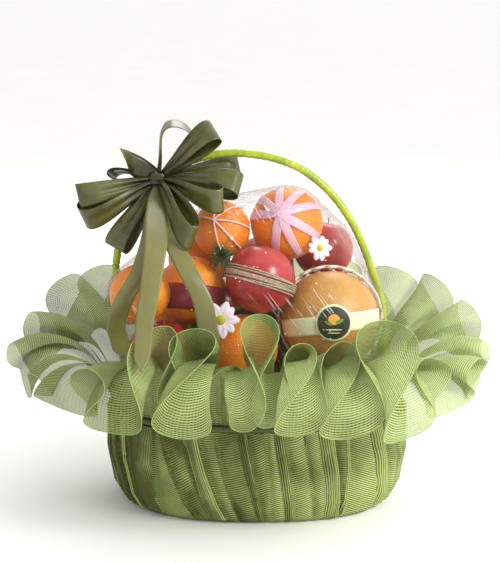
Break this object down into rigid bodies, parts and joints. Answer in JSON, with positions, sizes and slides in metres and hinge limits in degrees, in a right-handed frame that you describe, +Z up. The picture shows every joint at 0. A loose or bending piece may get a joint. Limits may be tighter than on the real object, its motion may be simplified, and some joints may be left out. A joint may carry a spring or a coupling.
{
  "type": "fruit gift basket",
  "caption": "Oval gift basket in pleated green mesh with a wide ruffle, an arched handle, an olive satin bow and film-wrapped oranges, apples and a pear.",
  "frame": {"origin": "middle of the basket's base, on the surface that it stands on", "axes": "+X to the right as seen from the front, +Y to the back, +Z up; the front is -Y"},
  "size_m": [0.51, 0.4241, 0.4092],
  "materials": {
    "mesh_green": "open knitted mesh, light green, semi matte",
    "tub_green": "plain dark green plastic",
    "band_green": "dark green woven band",
    "handle_green": "yellow-green strip wound round a stiff core",
    "satin_olive": "satin ribbon, olive",
    "filler_brown": "shredded paper",
    "film_clear": "clear glossy wrapping film",
    "orange_skin": "orange peel, finely pitted",
    "apple_skin": "red apple skin, waxy, speckled",
    "pear_skin": "tan pear skin with small dots",
    "pink_ribbon": "pale pink satin ribbon",
    "pink_cord": "thin pink cord",
    "dark_red_band": "dark red ribbon, plain",
    "jute": "twisted jute twine",
    "cream_paper": "cream paper band",
    "label_dark": "dark round paper label",
    "white_foam": "white foam net",
    "daisy_petal": "cloth daisy, pale pink and white",
    "needle_green": "dark green artificial needles"
  },
  "bodies": {
    "root": {"apple_back_high": "apple_skin", "apple_back_low": "apple_skin", "apple_back_right": "apple_skin", "apple_left": "apple_skin", "apple_right": "apple_skin", "apple_twined": "apple_skin", "basket_tub": "tub_green", "bow": "satin_olive", "bow_tail_front": "satin_olive", "bow_tail_left": "satin_olive", "bow_tail_right": "satin_olive", "cord_star": "pink_cord", "daisy_left": "daisy_petal", "daisy_right": "daisy_petal", "filler": "filler_brown", "film": "film_clear", "foam_net": "white_foam", "handle": "handle_green", "jute_twine": "jute", "orange_back_high": "orange_skin", "orange_back_left": "orange_skin", "orange_back_low": "orange_skin", "orange_banded": "orange_skin", "orange_corded": "orange_skin", "orange_front": "orange_skin", "orange_left": "orange_skin", "orange_top": "orange_skin", "pear_band": "cream_paper", "pear_banded": "pear_skin", "pear_label": "label_dark", "pink_star": "pink_ribbon", "pleated_skin": "mesh_green", "red_band": "dark_red_band", "ruffle": "mesh_green", "tie_band": "band_green", "tuft_low": "needle_green", "tuft_top": "needle_green"}
  },
  "joints": []
}
